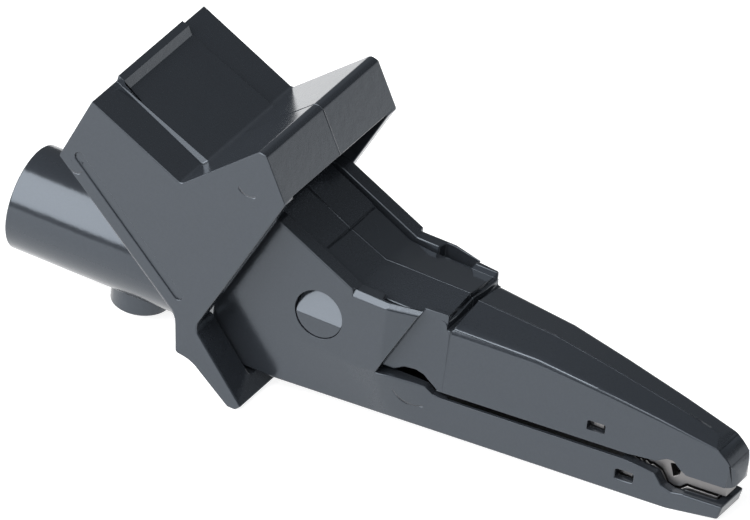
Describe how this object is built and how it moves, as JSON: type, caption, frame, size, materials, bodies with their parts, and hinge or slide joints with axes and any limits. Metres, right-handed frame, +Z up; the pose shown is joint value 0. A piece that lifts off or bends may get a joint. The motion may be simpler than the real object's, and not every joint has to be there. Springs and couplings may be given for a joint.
{
  "type": "crocodile clip",
  "caption": "Insulated crocodile clip: a thumb pad with finger guards opens sprung metal jaws, and the barrel takes a shrouded test plug.",
  "frame": {"origin": "centre of the bounding box on the surface that the clip stands on", "axes": "+X from the plug barrel to the jaw tip, level; +Z up; y = 0 is the plane of symmetry; the clip stands on its lower finger guard and on the heel of its lower jaw"},
  "size_m": [0.093, 0.0256, 0.0346],
  "materials": {
    "shell": "satin, fine moulded texture",
    "sleeve": "satin",
    "jaw_metal": "bright plated",
    "contact": "turned",
    "pin_steel": "bright",
    "spring_steel": "drawn wire"
  },
  "bodies": {
    "body": {"body_shell": "shell", "contact_tube": "contact", "socket_sleeve": "sleeve", "contact_rivet": "contact", "lower_jaw": "jaw_metal", "pivot_pin": "pin_steel", "pivot_washers": "pin_steel", "spring_bush": "contact", "torsion_spring": "spring_steel"},
    "lever": {"lever_shell": "shell", "upper_jaw": "jaw_metal"}
  },
  "joints": [
    {"name": "lever_hinge", "type": "hinge", "parent": "body", "child": "lever", "pos_m": [-0.00432, 0, 0.01299], "axis": [0, -1, 0], "range_deg": [0, 24], "stiffness_Nm_per_rad": 0.05, "springref_deg": -40.11, "deforming": ["torsion_spring"]}
  ]
}
